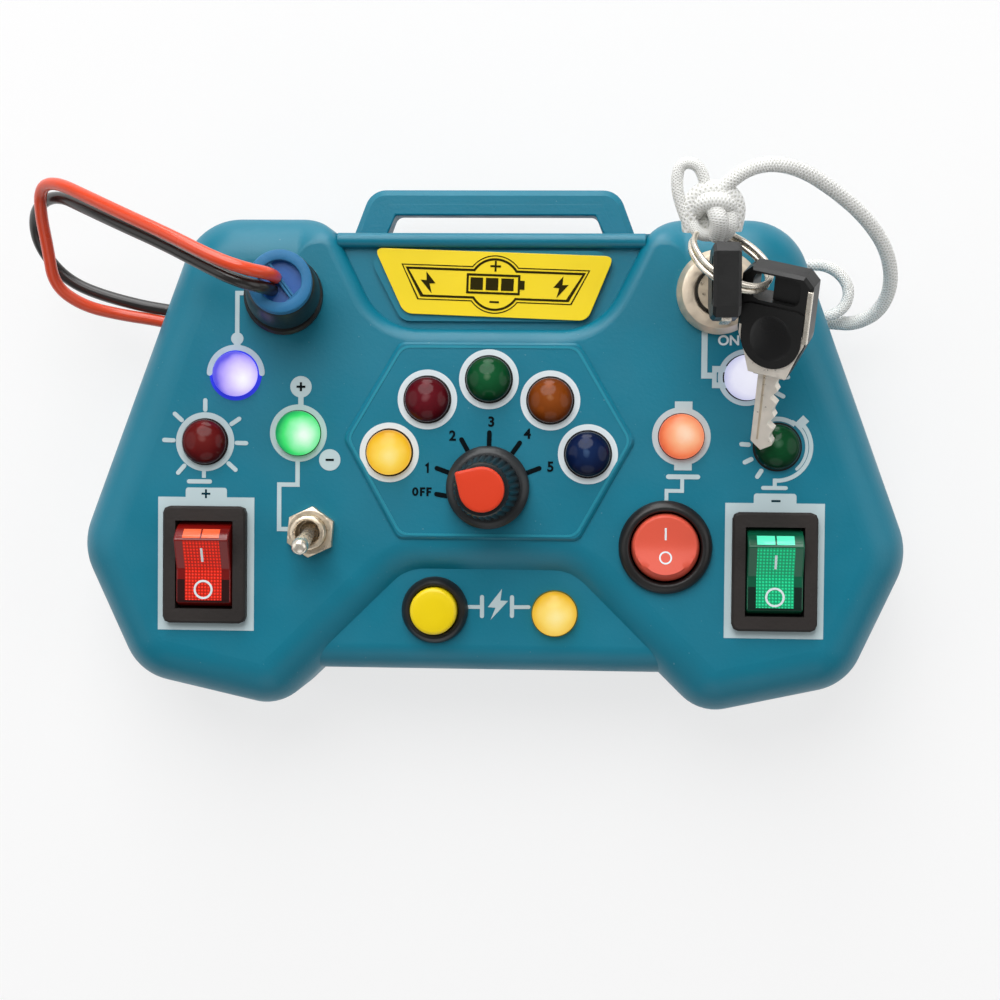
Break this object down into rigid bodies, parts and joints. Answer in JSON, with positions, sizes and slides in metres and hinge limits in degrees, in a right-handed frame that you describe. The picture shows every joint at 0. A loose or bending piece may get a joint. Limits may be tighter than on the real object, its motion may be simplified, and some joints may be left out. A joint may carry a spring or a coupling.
{
  "type": "busy board",
  "caption": "Hand-held busy board for a toddler: a handled panel box with rocker, toggle, rotary, push and key switches, indicator lamps, a plug on wires and roped keys.",
  "frame": {"origin": "centre of the board's outline, on the flat back that it lies on", "axes": "+X to the right of the panel, +Y towards the handle, +Z out of the panel towards the child"},
  "size_m": [0.1601, 0.0959, 0.057],
  "materials": {
    "body_teal": "fine satin texture",
    "black_plastic": "fine moulded texture",
    "grey_plastic": "satin",
    "red_lens": "translucent, polished",
    "green_lens": "translucent, polished",
    "insert_plastic": "dotted moulding",
    "salmon_plastic": "polished",
    "orange_red_plastic": "satin",
    "blue_plastic": "satin",
    "nickel": "bright nickel plate",
    "steel": "plain",
    "brass": "plain",
    "label": "printed plate",
    "yellow_plastic": "polished",
    "cell_wrap": "plain wrapped cell",
    "rope_white": "braided, translucent",
    "wire_red": "smooth, slightly glossy",
    "wire_black": "smooth, slightly glossy",
    "lamp_violet": "translucent resin",
    "lamp_white": "translucent resin",
    "lamp_red_left": "translucent resin",
    "lamp_green_right": "translucent resin",
    "lamp_green_left": "translucent resin",
    "lamp_orange_right": "translucent resin",
    "lamp_yellow": "translucent resin",
    "lamp_blue": "translucent resin",
    "lamp_red": "translucent resin",
    "lamp_orange": "translucent resin",
    "lamp_green": "translucent resin",
    "lamp_amber": "translucent resin"
  },
  "bodies": {
    "board": {"front_shell": "body_teal", "back_shell": "body_teal", "shell_screws": "steel", "battery_cells": "cell_wrap", "battery_contacts": "steel", "label_plate": "label", "lamp_leads": "steel", "red_rocker_frame": "black_plastic", "green_rocker_frame": "black_plastic", "round_rocker_frame": "black_plastic", "switch_terminals": "brass", "toggle_body": "black_plastic", "toggle_nut": "nickel", "dial_switch": "grey_plastic", "dial_nut": "nickel", "push_housing": "black_plastic", "push_spring": "steel", "lock_barrel": "nickel", "jack_socket": "black_plastic", "panel_nuts": "nickel", "plug_body": "black_plastic", "plug_pin": "nickel", "plug_insert": "blue_plastic", "rope": "rope_white", "rope_loop": "rope_white", "wire_red": "wire_red", "wire_black": "wire_black", "lamp_violet": "lamp_violet", "lamp_white": "lamp_white", "lamp_red_left": "lamp_red_left", "lamp_green_right": "lamp_green_right", "lamp_green_left": "lamp_green_left", "lamp_orange_right": "lamp_orange_right", "lamp_yellow": "lamp_yellow", "lamp_blue": "lamp_blue", "lamp_red": "lamp_red", "lamp_orange": "lamp_orange", "lamp_green": "lamp_green", "lamp_amber": "lamp_amber"},
    "red_rocker": {"red_rocker_lens": "red_lens", "red_rocker_insert": "insert_plastic"},
    "green_rocker": {"green_rocker_lens": "green_lens", "green_rocker_insert": "insert_plastic"},
    "round_rocker": {"round_rocker_paddle": "salmon_plastic"},
    "toggle": {"toggle_lever": "nickel"},
    "knob": {"dial_shaft": "steel", "knob": "grey_plastic", "knob_cap": "orange_red_plastic"},
    "button": {"push_cap": "yellow_plastic"},
    "key": {"lock_cylinder": "nickel", "key_blade": "nickel", "key_bow": "black_plastic", "key_ring": "nickel", "rope_knot": "rope_white", "rope_tail": "rope_white"},
    "spare_key": {"spare_key_blade": "nickel", "spare_key_bow": "black_plastic"},
    "battery_door": {"battery_door": "body_teal"},
    "door_screw": {"battery_door_screw": "steel"}
  },
  "joints": [
    {"name": "red_rocker_tilt", "type": "hinge", "parent": "board", "child": "red_rocker", "pos_m": [-0.05085, -0.02135, 0.0278], "axis": [1, 0, 0], "range_deg": [-25, 0]},
    {"name": "green_rocker_tilt", "type": "hinge", "parent": "board", "child": "green_rocker", "pos_m": [0.05085, -0.02135, 0.0278], "axis": [1, 0, 0], "range_deg": [-25, 0]},
    {"name": "round_rocker_tilt", "type": "hinge", "parent": "board", "child": "round_rocker", "pos_m": [0.0316, -0.01726, 0.0288], "axis": [1, 0, 0], "range_deg": [0, 18]},
    {"name": "toggle_throw", "type": "hinge", "parent": "board", "child": "toggle", "pos_m": [-0.03175, -0.01527, 0.0305], "axis": [1, 0, 0], "range_deg": [-20, 0]},
    {"name": "knob_turn", "type": "hinge", "parent": "board", "child": "knob", "pos_m": [0, -0.00697, 0.03], "axis": [0, 0, 1], "range_deg": [-127.5, 41]},
    {"name": "button_press", "type": "slide", "parent": "board", "child": "button", "axis": [0, 0, 1], "range_m": [-0.0015, 0], "stiffness_N_per_m": 200, "springref_m": 0.001, "deforming": ["push_spring"]},
    {"name": "key_turn", "type": "hinge", "parent": "board", "child": "key", "pos_m": [0.04046, 0.0279, 0.029], "axis": [0, 0, 1], "range_deg": [0, 67.5]},
    {"name": "spare_key_swing", "type": "hinge", "parent": "key", "child": "spare_key", "pos_m": [0.04769, 0.02812, 0.0476], "axis": [0.2855, 0.4808, -0.829], "range_deg": [-30, 0]},
    {"name": "battery_door_open", "type": "hinge", "parent": "board", "child": "battery_door", "pos_m": [0, 0.02615, 0], "axis": [1, 0, 0], "range_deg": [0, 60]},
    {"name": "door_screw_turn", "type": "hinge", "parent": "battery_door", "child": "door_screw", "pos_m": [0, -0.0134, 0], "axis": [0, 0, 1], "continuous": true}
  ]
}
